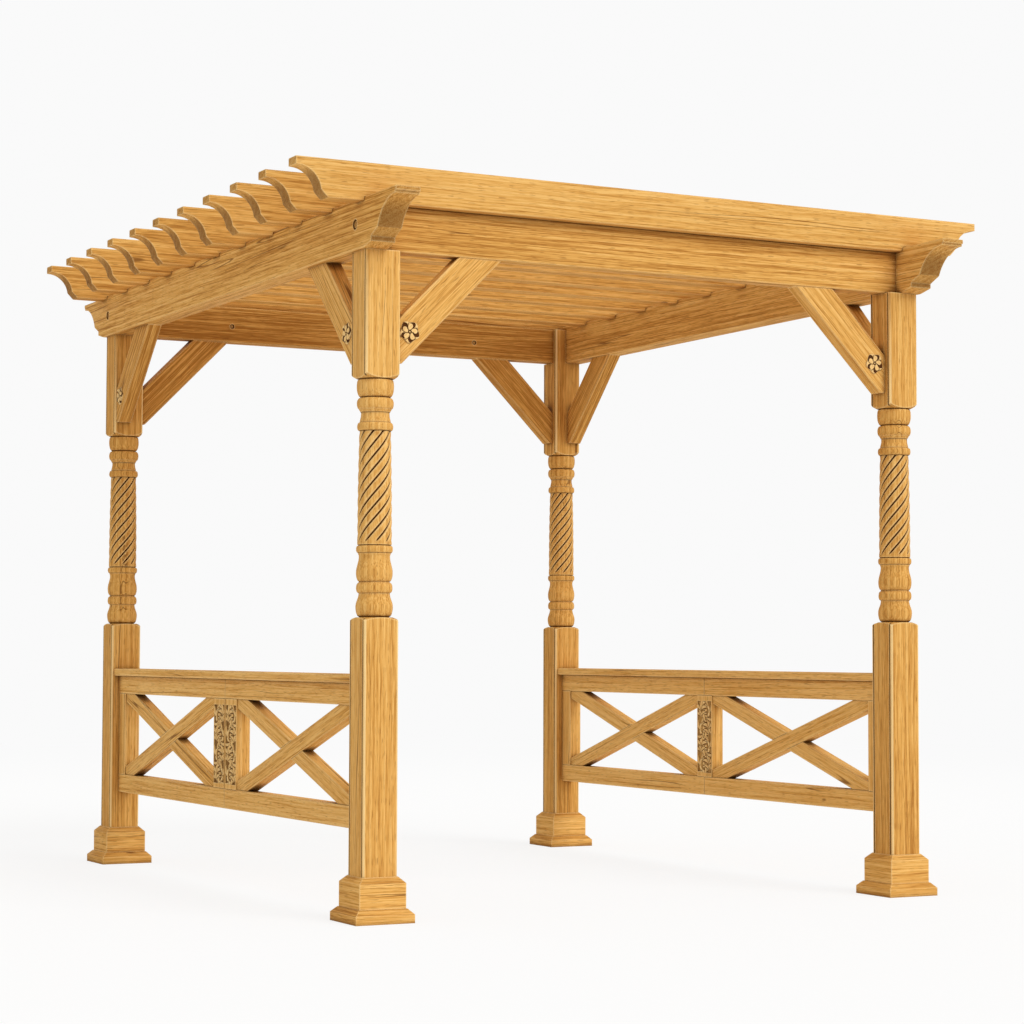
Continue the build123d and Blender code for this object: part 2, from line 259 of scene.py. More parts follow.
def eased_copy(name, node_name, ease):
    """A copy of a CAD piece, merged to clean faces, with every corner rounded over."""
    piece = bpy.data.objects.new(name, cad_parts[node_name].data.copy())
    bpy.context.collection.objects.link(piece)
    bpy.ops.object.select_all(action="DESELECT")
    piece.select_set(True)
    bpy.context.view_layer.objects.active = piece
    bpy.ops.mesh.customdata_custom_splitnormals_clear()
    bpy.ops.object.mode_set(mode="EDIT")
    bpy.ops.mesh.select_all(action="SELECT")
    bpy.ops.mesh.remove_doubles(threshold=merge_gap)
    bpy.ops.mesh.dissolve_limited(angle_limit=flat_angle)
    bpy.ops.object.mode_set(mode="OBJECT")
    rounding = piece.modifiers.new("rounding", "BEVEL")
    rounding.width = ease
    rounding.segments = 2
    rounding.limit_method = "ANGLE"
    rounding.angle_limit = corner_angle
    bpy.ops.object.modifier_apply(modifier="rounding")
    smooth(piece, smooth_angle)
    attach(piece, "root")
    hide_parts(node_name)
    return piece


corners = ["front_left", "front_right", "back_left", "back_right"]
for count, corner in enumerate(corners):
    base = eased_copy(corner + "_plinth", corner + "_base", board_ease)
    front, side = plinth_front_grain + count, plinth_side_grain + count
    wear(base, honey_timber(corner + "_plinth_front", LEVEL_X, front, plinth_tone),
         honey_timber(corner + "_plinth_side", LEVEL_Y, side, plinth_tone),
         honey_timber(corner + "_plinth_front_slope", LEVEL_X, front, slope_shade_tone),
         honey_timber(corner + "_plinth_side_slope", LEVEL_Y, side, slope_shade_tone))
    # Facets facing up take the darker slope tone, as painted shade.
    for facet in base.data.polygons:
        sideways = abs(facet.normal.x) > abs(facet.normal.y)
        facet.material_index = int(sideways) + 2 * int(facet.normal.z > slope_rise)


# Posts: 144 mm squared softwood, turned on a lathe between a square shaft and a square block to
# buns, beads and a vase, with a right-handed spiral of broad reeds cut by hand, then stained. A thin
# line is scratched beside the corners of the square parts, on the faces to the left and the right.
post_ease = 0.009
shaft_top, reeds_bottom, reeds_top, block_bottom = 1.156, 1.432, 1.871, 2.072
# Each step of the turning up to the reeds, then from them: its curve, and the radius and height it reaches.
below_reeds = [
    ("line", 0.0575, 1.156), ("line", 0.0575, 1.158),
    ("round out", 0.0717, 1.197), ("ogee", 0.0600, 1.2475),  # bun
    ("line", 0.0622, 1.2502), ("round out", 0.0698, 1.268), ("round in", 0.0622, 1.2875),  # bead
    ("line", 0.0585, 1.2930), ("round out", 0.0704, 1.327), ("ogee", 0.0598, 1.389),  # vase
    ("ogee", 0.0632, 1.4025), ("line", 0.0648, 1.4032),
    ("round out", 0.0706, 1.4175), ("round in", 0.0640, 1.4305), ("line", 0.0614, 1.432),  # collar
]
above_reeds = [
    ("line", 0.0575, 1.871), ("line", 0.0600, 1.8715),
    ("round out", 0.0694, 1.886), ("round in", 0.0630, 1.9025), ("line", 0.0598, 1.9045),  # crown
    ("ogee", 0.0552, 1.930), ("line", 0.0546, 1.942), ("line", 0.0574, 1.9435),  # neck
    ("ogee", 0.0630, 1.956), ("round out", 0.0710, 1.977), ("round in", 0.0600, 1.998),  # bead
    ("line", 0.0550, 2.0005), ("round out", 0.0717, 2.041), ("round in", 0.0668, 2.068),  # bun
    ("line", 0.0612, 2.069), ("line", 0.0612, 2.072),
]
curve_steps = 9
reed_foot, reed_swell, reed_taper = 0.0662, 0.0015, 0.0070
quirk, overrun = 0.0022, 0.004
start_size, weld_gap, on_reeds, off_flat = 0.01, 0.00001, 0.00022, 0.00045
corner_radius, pommel_radius, pommel_roll = 0.104, 0.0735, 0.0030
shaft_drop, block_drop = 0.018, 0.026
pommel_bulge, pommel_knee, pommel_lip = 0.16, 0.4, 0.05
reed_count, reed_turn = 9, radians(360)
points_per_reed, reed_steps, bunching = 16, 80, 0.75
groove_depth, groove_width, reed_crown = 0.0075, 0.0042, 0.0050
groove_start, groove_full = 0.006, 0.028
lip_offset, lip_width = 0.0074, 0.0022
line_inset, line_width, line_depth = 0.0145, 0.0070, 0.0050
# Lips beside the grooves are pale as painted highlights, the corners pale as wear and painted highlight, and
# the scratched lines dark as painted shade.
lip_highlight, corner_wear_and_highlight, line_shade = 0.8, 0.8, 0.5
# Thin dark bands of painted shade in the quirks at these heights.
quirk_heights = (1.157, 1.249, 1.291, 1.4028, 1.4312, 1.8712, 1.9035, 1.9428, 1.9993, 2.0705)
quirk_reach, quirk_shade = 0.0022, 0.42


def turned_steps(start, steps):
    """Points along the steps of a turning: quarter rounds out or in, ogees and straight lines."""
    points = []
    for kind, radius, height in steps:
        out, rise = radius - start[0], height - start[1]
        for share in np.linspace(0, 1, curve_steps + 1)[1:] if kind != "line" else [1]:
            angle = share * pi / 2
            along_out, along_rise = {
                "line": (1, 1),
                "ogee": ((1 - cos(2 * angle)) / 2, share),
                "round out": (sin(angle), 1 - cos(angle)),
                "round in": (1 - cos(angle), sin(angle)),
            }[kind]
            points.append((start[0] + out * along_out, start[1] + rise * along_rise))
        start = (radius, height)
    return points


def between(low, high, share):
    """The value at a share of the way from low to high."""
    return low + (high - low) * share


def reed_radius(height):
    """Radius over the reeds, which swell a little above their foot and then taper."""
    rise = (height - reeds_bottom) / (reeds_top - reeds_bottom)
    return reed_foot + reed_swell * rise - reed_taper * rise * rise


def pommel(level, drop):
    """The cut from the turning's shoulder up or down to the corners of the square, a little bulged."""
    knee = between(pommel_radius, corner_radius, pommel_knee + pommel_bulge)
    return [(pommel_radius - pommel_roll, level), (pommel_radius, level + pommel_lip * drop),
            (knee, level + pommel_knee * drop), (corner_radius, level + drop)]


def turned_profile(bottom, top):
    """The lathe's profile as radius and height, from the ground to the post's top."""
    points = [(0, bottom), (corner_radius, bottom)] + pommel(shaft_top, -shaft_drop)[::-1]
    points += turned_steps(points[-1], below_reeds)
    points += [(reed_radius(height), height)
               for height in np.linspace(reeds_bottom + quirk, reeds_top - quirk / 2, reed_steps)]
    points += turned_steps(points[-1], above_reeds)
    return points + pommel(block_bottom, block_drop) + [(corner_radius, top), (0, top)]


def lathed(profile, steps):
    """A closed shape spun round Z, from the radius and height of each point of its profile."""
    bpy.ops.object.select_all(action="DESELECT")
    bpy.ops.mesh.primitive_plane_add(size=start_size, location=(profile[0][0], 0, profile[0][1]))
    bpy.ops.object.transform_apply(location=True)
    bpy.ops.object.mode_set(mode="EDIT")
    bpy.ops.mesh.select_mode(type="VERT")
    bpy.ops.mesh.select_all(action="SELECT")
    bpy.ops.mesh.merge(type="CENTER")
    for start, end in zip(profile, profile[1:]):
        bpy.ops.mesh.extrude_region_move(
            TRANSFORM_OT_translate={"value": (end[0] - start[0], 0, end[1] - start[1])})
    bpy.ops.mesh.select_all(action="SELECT")
    bpy.ops.mesh.spin(steps=steps, angle=2 * pi, center=(0, 0, 0), axis=(0, 0, 1))
    bpy.ops.mesh.select_all(action="SELECT")
    bpy.ops.mesh.remove_doubles(threshold=weld_gap)
    bpy.ops.mesh.normals_make_consistent(inside=False)
    bpy.ops.object.mode_set(mode="OBJECT")
    return bpy.context.object


def places(piece):
    """Where every vertex of a piece is, as a table of rows."""
    table = np.empty((len(piece.data.vertices), 3), dtype=np.float32)
    piece.data.vertices.foreach_get("co", table.ravel())
    return table.astype(float)


def move_to(piece, table):
    """Put every vertex of a piece where its row of a table says."""
    piece.data.vertices.foreach_set("co", table.astype(np.float32).ravel())
    piece.data.update()


def paint(piece, attribute, values):
    """Keep a value for every vertex, for the piece's material to read."""
    layer = piece.data.attributes.new(attribute, "FLOAT", "POINT")
    layer.data.foreach_set("value", values.astype(np.float32))


def boolean(piece, cutter, operation):
    """Cut one piece by another, or keep what both fill, then put the cutting piece away."""
    modifier = piece.modifiers.new("cut", "BOOLEAN")
    modifier.operation = operation
    modifier.object = cutter
    modifier.solver = "EXACT"
    bpy.context.view_layer.objects.active = piece
    bpy.ops.object.modifier_apply(modifier="cut")
    bpy.data.objects.remove(cutter)


def block(low, high):
    """A box between two corners, as a start for a timber or a cut."""
    low, high = Vector(low), Vector(high)
    bpy.ops.object.select_all(action="DESELECT")
    bpy.ops.mesh.primitive_cube_add(size=1, location=(low + high) / 2, scale=high - low)
    bpy.ops.object.transform_apply(location=True, rotation=True, scale=True)
    return bpy.context.object


def edge_ease(piece, chosen, ease):
    """Round over the edges that a test on their two ends chooses."""
    bpy.context.view_layer.objects.active = piece
    bpy.ops.object.mode_set(mode="EDIT")
    bpy.ops.mesh.select_mode(type="EDGE")
    bpy.ops.mesh.select_all(action="DESELECT")
    bpy.ops.object.mode_set(mode="OBJECT")
    ends = [vertex.co for vertex in piece.data.vertices]
    for edge in piece.data.edges:
        edge.select = chosen(ends[edge.vertices[0]], ends[edge.vertices[1]])
    bpy.ops.object.mode_set(mode="EDIT")
    bpy.ops.mesh.bevel(offset=ease, segments=3, affect="EDGES")
    bpy.ops.object.mode_set(mode="OBJECT")


def across_groove(table):
    """How far each vertex is round the post from the nearest groove between two reeds."""
    x, y, height = table.T
    turn = reed_turn * (height - reeds_bottom) / (reeds_top - reeds_bottom)
    phase = (np.arctan2(y, x) - turn) * reed_count / (2 * pi)
    return ((phase + 0.5) % 1 - 0.5) * 2 * pi * reed_foot / reed_count


def groove_fade(height):
    """The grooves run out to nothing just over their foot."""
    share = np.clip((height - reeds_bottom - groove_start) / (groove_full - groove_start), 0, 1)
    return share * share * (3 - 2 * share) * (height < reeds_top)


def cut_reeds(turning):
    """Draw the vertices together towards the grooves, wind them round the post and sink the grooves."""
    table = places(turning)
    x, y, height = table.T
    reeded = (height > reeds_bottom) & (height < reeds_top)
    reeded &= abs(np.hypot(x, y) - reed_radius(height)) < on_reeds
    place = np.arctan2(y, x) * reed_count / (2 * pi)
    place -= bunching * np.sin(2 * pi * place) / (2 * pi)
    angle = place * 2 * pi / reed_count + reed_turn * (height - reeds_bottom) / (reeds_top - reeds_bottom)
    wound = np.column_stack((np.cos(angle), np.sin(angle), height))
    across = abs(across_groove(wound))
    edge = 1 - across * reed_count / (pi * reed_foot)
    groove = groove_depth * np.exp(-(across / groove_width) ** 2)
    sunk = groove_fade(height) * (reed_crown * edge ** 2 + groove)
    wound[:, :2] *= (reed_radius(height) - sunk)[:, None]
    table[reeded] = wound[reeded]
    move_to(turning, table)


def turned_post(low, high):
    """One post on the lathe's own axis: a squared timber with lined corners, kept where the turning is."""
    half = (high.x - low.x) / 2
    timber = block((-half, -half, low.z), (half, half, high.z))
    edge_ease(timber, lambda a, b: abs(a.z - b.z) > half, post_ease)
    for x in (-half, half):
        for y in (-half + line_inset, half - line_inset):
            boolean(timber, block((x - line_depth, y - line_width / 2, low.z - overrun),
                                  (x + line_depth, y + line_width / 2, high.z + overrun)), "DIFFERENCE")
    turning = lathed(turned_profile(low.z - overrun, high.z + overrun), reed_count * points_per_reed)
    cut_reeds(turning)
    boolean(timber, turning, "INTERSECT")
    return timber


def paint_post(post, half):
    """Mark the grooves, the quirks and the lines by the corners for painted shade, and the lips and corners
    for paler wood: painted highlights, on the corners also wear.
    """
    table = places(post)
    height = table[:, 2]
    across = across_groove(table)
    reeded = groove_fade(height)
    lips = reeded * np.exp(-((abs(across) - lip_offset) / lip_width) ** 2)
    at_corner = np.hypot(table[:, 0], table[:, 1]) > half * 2 ** 0.5 - post_ease
    off_face = at_corner & (half - abs(table[:, :2]).max(axis=1) > off_flat)
    lined = abs(half - line_depth - abs(table[:, 0])) < line_depth / 2
    lined &= abs(half - line_inset - abs(table[:, 1])) < line_width
    hollow_shade = np.maximum(reeded * np.exp(-(across / groove_width) ** 2), line_shade * lined)
    for quirk_height in quirk_heights:
        hollow_shade = np.maximum(hollow_shade, quirk_shade * np.exp(-((height - quirk_height) / quirk_reach) ** 2))
    paint(post, "hollow_shade", hollow_shade)
    paint(post, "crest_wear_and_highlight", np.maximum(lip_highlight * lips, corner_wear_and_highlight * off_face))


def copied(pattern, name):
    """Another piece of the same pattern, with a mesh of its own."""
    piece = pattern.copy()
    piece.data = pattern.data.copy()
    piece.name = name
    bpy.context.collection.objects.link(piece)
    return piece


post_vigour, post_smooth_angle = 0.65, radians(34)
# How dark the painted shade in the post's grooves, quirks and lines is.
post_hollow_shade = 0.95
seat_cut, seat_top, seat_end = 3, 4, 2  # well past the timber on every side
# Each post is painted a lighter or darker tone to match how it is lit, as painted light and shade.
post_light_and_shade_tones = {"front_left": 0.03, "front_right": -0.08, "back_left": -0.06, "back_right": -0.05}
post_grain = {"front_left": 15, "front_right": 63, "back_left": 17, "back_right": 18}
post_low, post_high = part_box("front_left_post")
pattern_post = turned_post(post_low, post_high)
paint_post(pattern_post, (post_high.x - post_low.x) / 2)
for corner in corners:
    low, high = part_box(corner + "_post")
    beam_low, beam_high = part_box(corner.split("_")[1] + "_beam")
    cross_low, cross_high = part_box(corner.split("_")[0] + "_beam")
    post = copied(pattern_post, corner + "_turned_post")
    post.data.transform(Matrix.Translation(((low.x + high.x) / 2, (low.y + high.y) / 2, 0)))
    # The top is notched on its outer sides, where the side beam and the cross beam are seated.
    seat_x = sorted((beam_low.x, beam_high.x), key=abs)[0]
    seat_y = sorted((cross_low.y, cross_high.y), key=abs)[0]
    past_x = seat_end * seat_x / abs(seat_x)
    past_y = seat_end * seat_y / abs(seat_y)
    boolean(post, block((min(seat_x, past_x), -seat_cut, beam_low.z),
                        (max(seat_x, past_x), seat_cut, seat_top)), "DIFFERENCE")
    boolean(post, block((-seat_cut, min(seat_y, past_y), beam_low.z),
                        (seat_cut, max(seat_y, past_y), seat_top)), "DIFFERENCE")
    smooth(post, post_smooth_angle)
    wear(post, honey_timber(corner + "_post_timber", UPRIGHT, post_grain[corner], post_light_and_shade_tones[corner],
                            end_stain_and_shade=0.0, carved=post_hollow_shade, vigour=post_vigour))
    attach(post, "root")
    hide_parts(corner + "_post")
bpy.data.objects.remove(pattern_post)


# Side rails: cap, rails and stiles of planed softwood pegged together, with crossed diagonals
# let in between them. The kept CAD pieces have their grain along their own length.
def finished(node_name, material):
    """Put a material on a CAD piece whose shape is right."""
    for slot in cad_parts[node_name].material_slots:
        slot.material = material


rail_ease = 0.003
# The rails are a paler timber, made paler still as painted light on their shaded faces.
rail_tones_and_light = {"left": 0.08, "right": 0.12}
through_grain, halved_grain = 30, 32
rail_timbers = [("rail_cap", "cap", LEVEL_Y, 20), ("top_rail", "top_rail", LEVEL_Y, 22),
                ("bottom_rail", "low_rail", LEVEL_Y, 24), ("end_stiles", "stile", UPRIGHT, 26)]
for count, side in enumerate(("left", "right")):
    rail_tone_and_light = rail_tones_and_light[side]
    for kind, timber, run, grain in rail_timbers:
        finished(f"{side}_{kind}", honey_timber(f"{side}_{timber}_timber", run, grain + count, rail_tone_and_light))
    end_low, end_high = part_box(side + "_end_stiles")
    centre_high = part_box(side + "_centre_stiles")[1]
    top_low, top_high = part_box(side + "_top_rail")
    bay_height = end_high.z - end_low.z
    bay_width = end_high.y - (top_high.z - top_low.z) - centre_high.y
    through = eased_copy(side + "_through_diagonals", side + "_diagonals", rail_ease)
    falling, rising = (0, -bay_width, bay_height), (0, bay_width, bay_height)
    wear(through, honey_timber(side + "_through_timber", falling, through_grain + count, rail_tone_and_light))
    half = eased_copy(side + "_halved_diagonals", side + "_half_diagonals", rail_ease)
    wear(half, honey_timber(side + "_halved_timber", rising, halved_grain + count, rail_tone_and_light))


# Carved centre stiles: wide boards in the middle of each rail, carved on both faces with a climbing
# scroll of foliage. The ground is sunk with a gouge, so the carving's top is level with the face.
relief_depth, relief_step = 0.0095, 0.0022
margin_side, margin_bottom, margin_top = 0.006, 0.020, 0.028
stile_ease = 0.0025
ground_level, slit_level = 0.33, 0.62
scroll_count, scroll_turn = 4, radians(370)
scroll_radius, scroll_eye, scroll_offset = 0.036, 0.013, 0.010
scroll_width, scroll_thinning, eye_width = 0.0085, 0.7, 0.0095
stem_swing, stem_width = 0.038, 0.0080
leaf_width, leaf_length = 0.0105, 0.066
leaf_start, leaf_end, leaf_fullness = 0.06, 0.96, 0.75
scroll_leaf_turn, scroll_leaf_size, lower_leaf_size = 1.1, 0.8, 0.85
scroll_leaves = ((0.04, -0.9), (0.20, -0.7), (0.38, -0.6), (0.56, -0.6), (0.76, -0.5))
stem_leaves = ((0.75, -1.1, 0.9), (0.05, -0.8, 1.1), (-0.65, 0.9, 0.9))
moat_end, vein_depth, vein_width = 1.40, 0.3, 0.25
crest_level = 0.7
sample_spacing = 0.001
stile_grain, carved_smooth_angle = 28, radians(50)
# How dark the painted shade in the sunk ground and slits is, on each side's stiles.
stile_hollow_shades = {"left": 0.95, "right": 0.55}


def bent(start, heading, length, turn):
    """Points along a stroke that leaves a point with a heading and turns evenly as it goes."""
    count = int(length / sample_spacing)
    headings = heading + turn * np.linspace(0, 1, count)
    steps = np.column_stack((np.cos(headings), np.sin(headings))) * sample_spacing
    return np.asarray(start) + np.cumsum(steps, axis=0)


def leaf(start, heading, turn, size):
    """One leaf: a bent stroke, pointed at both ends."""
    points = bent(start, heading, leaf_length * size, turn)
    widths = leaf_width * size * np.sin(np.linspace(leaf_start, leaf_end, len(points)) * pi) ** leaf_fullness
    return points, widths, vein_depth


def scroll_strokes(height, first_side):
    """The strokes of the carving from the back to the front: the stem, the scrolls, then the leaves."""
    pitch = (height - margin_bottom - margin_top) / scroll_count
    leaves, scrolls = [], []
    for count in range(scroll_count):
        side = first_side * (-1) ** count
        middle = margin_bottom + pitch * (count + 0.5)
        turns = np.linspace(0, 1, int(scroll_turn * scroll_radius / 2 / sample_spacing))
        angles = -pi / 2 + scroll_turn * turns
        radii = between(scroll_radius, scroll_eye, turns)
        out, rise = scroll_offset + radii * np.cos(angles), middle + radii * np.sin(angles)
        widths = between(scroll_width, scroll_thinning * scroll_width, turns)
        scrolls.append((np.column_stack((side * out, rise)), widths, 0))
        eye = np.array([[side * scroll_offset, middle]])
        scrolls.append((eye, np.array([eye_width]), vein_depth))
        for share, lean in scroll_leaves:
            angle = -pi / 2 + scroll_turn * share
            radius = between(scroll_radius, scroll_eye, share)
            start = (side * (scroll_offset + radius * cos(angle)), middle + radius * sin(angle))
            heading = angle + pi / 2 + lean
            if side < 0:
                heading = pi - heading
            leaves.append(leaf(start, heading, side * scroll_leaf_turn, scroll_leaf_size))
        stem = (-side * stem_swing, middle)
        for lean, turn, size in stem_leaves:
            leaves.append(leaf(stem, pi / 2 - side * lean, side * turn, size))
            lower = (stem[0], middle - pitch / 3)
            leaves.append(leaf(lower, pi / 2 + side * lean, -side * turn, lower_leaf_size * size))
    climb = np.arange(margin_bottom, height - margin_top, sample_spacing)
    swing = -first_side * stem_swing * np.cos(pi * (climb - margin_bottom - pitch / 2) / pitch)
    stem = (np.column_stack((swing, climb)), np.full(len(climb), stem_width), 0)
    return [stem] + scrolls + leaves


def carved_face(table, width, height, first_side):
    """How high the carving stands at each vertex of a face, from the sunk ground, 0, to the face, 1."""
    spots = table[:, :2] + (0, height / 2)
    field = np.full(len(spots), ground_level)
    for points, widths, vein in scroll_strokes(height, first_side):
        reach = widths.max() * moat_end
        near = ((spots > points.min(axis=0) - reach) & (spots < points.max(axis=0) + reach)).all(axis=1)
        gaps = np.linalg.norm(spots[near, None, :] - points[None, :, :], axis=2)
        ratio = (gaps / widths).min(axis=1)
        crown = np.sqrt(np.clip(1 - ratio ** 2, 0, 1)) - vein * np.exp(-(ratio / vein_width) ** 2)
        moat = np.clip((ratio - 1) / (moat_end - 1), 0, 1)
        field[near] = np.where(ratio < 1, np.maximum(crown, 0), np.minimum(field[near], moat))
    inside = (abs(spots[:, 0]) < width / 2 - margin_side)
    inside &= (spots[:, 1] > margin_bottom) & (spots[:, 1] < height - margin_top)
    return np.where(inside, field, 1.0), inside


def carved_stile(width, height, depth, first_side):
    """One stile lying on its back, carved on its upper face and mirrored to its lower one."""
    bpy.ops.object.select_all(action="DESELECT")
    bpy.ops.mesh.primitive_grid_add(x_subdivisions=round(width / relief_step),
                                    y_subdivisions=round(height / relief_step), size=1)
    stile = bpy.context.object
    stile.scale = (width, height, 1)
    bpy.ops.object.transform_apply(scale=True)
    table = places(stile)
    field, inside = carved_face(table, width, height, first_side)
    table[:, 2] = depth / 2 - relief_depth * (1 - field)
    table[abs(table[:, 0]) > width / 2 - relief_step / 2, 2] -= stile_ease
    move_to(stile, table)
    # The sunk ground and slits are painted dark as shade, and the carving's tops pale, as wear and partly
    # painted highlights.
    paint(stile, "hollow_shade", np.clip(1 - field / slit_level, 0, 1))
    paint(stile, "crest_wear_and_highlight", inside * np.clip((field - crest_level) / (1 - crest_level), 0, 1))
    bpy.ops.object.mode_set(mode="EDIT")
    bpy.ops.mesh.select_mode(type="EDGE")
    bpy.ops.mesh.select_all(action="SELECT")
    bpy.ops.mesh.region_to_loop()
    bpy.ops.mesh.extrude_region_move(TRANSFORM_OT_translate={"value": (0, 0, -depth)})
    bpy.ops.object.mode_set(mode="OBJECT")
    table = places(stile)
    table[table[:, 2] < 0, 2] = 0
    move_to(stile, table)
    other_face = stile.modifiers.new("other_face", "MIRROR")
    other_face.use_axis = (False, False, True)
    other_face.merge_threshold = weld_gap
    bpy.ops.object.modifier_apply(modifier="other_face")
    bpy.ops.object.mode_set(mode="EDIT")
    bpy.ops.mesh.select_all(action="SELECT")
    bpy.ops.mesh.normals_make_consistent(inside=False)
    bpy.ops.object.mode_set(mode="OBJECT")
    smooth(stile, carved_smooth_angle)
    return stile


stile_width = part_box("right_centre_stiles")[1].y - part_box("right_centre_stiles")[0].y
stand_up = Matrix(((0, 0, 1, 0), (1, 0, 0, 0), (0, 1, 0, 0), (0, 0, 0, 1)))
for count, side in enumerate(("left", "right")):
    low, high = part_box(side + "_centre_stiles")
    first, last = low.y + stile_width / 2, high.y - stile_width / 2
    stiles = []
    for number, middle in enumerate(sorted({round(first, 4), round(last, 4)})):
        stile = carved_stile(stile_width, high.z - low.z, high.x - low.x, (-1) ** number)
        stand = Matrix.Translation(((low.x + high.x) / 2, middle, (low.z + high.z) / 2))
        stile.data.transform(stand @ stand_up)
        stiles.append(stile)
    bpy.ops.object.select_all(action="DESELECT")
    for stile in stiles:
        stile.select_set(True)
    bpy.context.view_layer.objects.active = stiles[0]
    if len(stiles) > 1:
        bpy.ops.object.join()
    stiles[0].name = side + "_carved_stiles"
    wear(stiles[0], honey_timber(side + "_carved_timber", UPRIGHT, stile_grain + count, rail_tones_and_light[side],
                                 carved=stile_hollow_shades[side]))
    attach(stiles[0], "root")
    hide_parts(side + "_centre_stiles")


# Side beams: heavy sawn timbers on the post tops, their ends moulded with two bands, a cove and a
# heel. A plugged bolt hole shows on the outer face over each post.
beam_ease = 0.0035
beam_bore, bore_depth = 0.0205, 0.014
plug_share, plug_sink, plug_dome = 0.70, 0.0025, 0.0016
plug_shoulder, plug_shoulder_rise, plug_crown = 0.9, 0.4, 0.5
plug_height, plug_steps, plug_tone, plug_smooth_angle = 0.099, 24, -0.1, radians(40)
beam_tone, beam_grain = -0.05, 36
# The moulded ends take more stain, and below the brow they are darker still, as painted shade in the cove
# under the nose.
beam_brow, beam_end_stain_and_shade = 0.028, 0.66


def plugged_hole(name, piece, place, outward, bore_radius):
    """Bore a bolt hole into a face of a piece and drive in its plug, domed and a little below the face."""
    facing = Vector((0, 0, 1)).rotation_difference(Vector(outward)).to_matrix().to_4x4()
    seated = Matrix.Translation(place) @ facing
    plug_radius = plug_share * bore_radius
    bore = lathed([(0, -bore_depth), (bore_radius, -bore_depth),
                   (bore_radius, bore_depth), (0, bore_depth)], plug_steps)
    bore.data.transform(seated)
    boolean(piece, bore, "DIFFERENCE")
    plug = lathed([(0, -bore_depth), (plug_radius, -bore_depth), (plug_radius, -plug_sink - plug_dome),
                   (plug_shoulder * plug_radius, -plug_sink - plug_shoulder_rise * plug_dome),
                   (plug_crown * plug_radius, -plug_sink), (0, -plug_sink)], plug_steps)
    plug.data.transform(seated)
    plug.name = name
    smooth(plug, plug_smooth_angle)
    wear(plug, honey_timber(name + "_timber", outward, sum(place), plug_tone))
    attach(plug, "root")


for count, side in enumerate(("left", "right")):
    beam = eased_copy(side + "_moulded_beam", side + "_beam", beam_ease)
    low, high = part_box(side + "_beam")
    outward = (-1, 0, 0) if side == "left" else (1, 0, 0)
    outer = low.x if side == "left" else high.x
    for end in ("front", "back"):
        post_low, post_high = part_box(f"{end}_{side}_post")
        spot = (outer, (post_low.y + post_high.y) / 2, low.z + plug_height)
        plugged_hole(f"{end}_{side}_plug", beam, spot, outward, beam_bore)
    wear(beam, honey_timber(side + "_beam_timber", LEVEL_Y, beam_grain + count, beam_tone,
                            end_stain_and_shade=beam_end_stain_and_shade, brow=high.z - beam_brow))


# Front and back beams: planed timbers let between the side beams and seated on the posts, with a
# plugged bolt hole on the inner face over the upper end of each brace.
cross_ease = 0.002
cross_bore, cross_plug_place, cross_plug_height = 0.0115, 0.678, 0.080
cross_grain = 40
# The back beam is painted darker, as shade under the roof.
cross_shade_tones = {"front": -0.05, "back": -0.20}
for count, end in enumerate(("front", "back")):
    beam = eased_copy(end + "_planed_beam", end + "_beam", cross_ease)
    low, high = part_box(end + "_beam")
    inward = (0, 1, 0) if end == "front" else (0, -1, 0)
    inner = high.y if end == "front" else low.y
    for side, place in (("left", -cross_plug_place), ("right", cross_plug_place)):
        spot = (place, inner, low.z + cross_plug_height)
        plugged_hole(f"{end}_{side}_inner_plug", beam, spot, inward, cross_bore)
    wear(beam, honey_timber(end + "_beam_timber", LEVEL_X, cross_grain + count, cross_shade_tones[end]))


# Knee braces: short timbers at 45 degrees from each post to the beams it carries, birdsmouthed
# and screwed at both ends.
cross_brace_grain, side_brace_grain = 44, 48
# The back braces are painted darker, as shade under the roof.
brace_shade_tones = {"front": 0.0, "back": -0.16}
for count, corner in enumerate(corners):
    inward = 1 if "left" in corner else -1
    onward = 1 if "front" in corner else -1
    brace_shade_tone = brace_shade_tones[corner.split("_")[0]]
    across = honey_timber(corner + "_cross_timber", (inward, 0, 1), cross_brace_grain + count, brace_shade_tone)
    finished(corner + "_cross_brace", across)
    along = honey_timber(corner + "_side_timber", (0, onward, 1), side_brace_grain + count, brace_shade_tone)
    finished(corner + "_side_brace", along)


# Rosettes: a whirl of five petals carved with a gouge from a thin disc of the same wood, and glued
# to the outward face of every brace, near its lower end.
petal_count, whirl = 5, 24.0
rosette_radius, scallop = 0.0415, 0.0036
rosette_height, skirt = 0.0052, 0.0026
slit_width, slit_depth = 0.0022, 0.60
pocket_place, pocket_radius, pocket_edge = 0.0300, 0.0140, 0.0020
pocket_sizes = (1.16, 0.88, 1.08, 0.80, 1.0)
shield_place, shield_turn, shield_radius = 0.0235, radians(14), 0.0100
eye_radius, button_radius = 0.0076, 0.0034
rosette_floor, rosette_glue = 0.0006, 0.0010
rosette_rings, rosette_steps = 46, 160
rosette_inset, brace_width = 0.055, 0.132
# The gouged slits and pockets take painted shade, and the petal tops a pale colour that is wear and partly
# painted highlight.
rosette_grain, rosette_tone, rosette_hollow_shade, petal_wear_and_highlight = 70, 0.04, 0.95, 0.4
rosette_smooth_angle = radians(60)


def rosette_outline(angle):
    """How far the petals reach from the middle, at an angle."""
    return rosette_radius - scallop * np.cos(petal_count * (angle + whirl * rosette_radius))


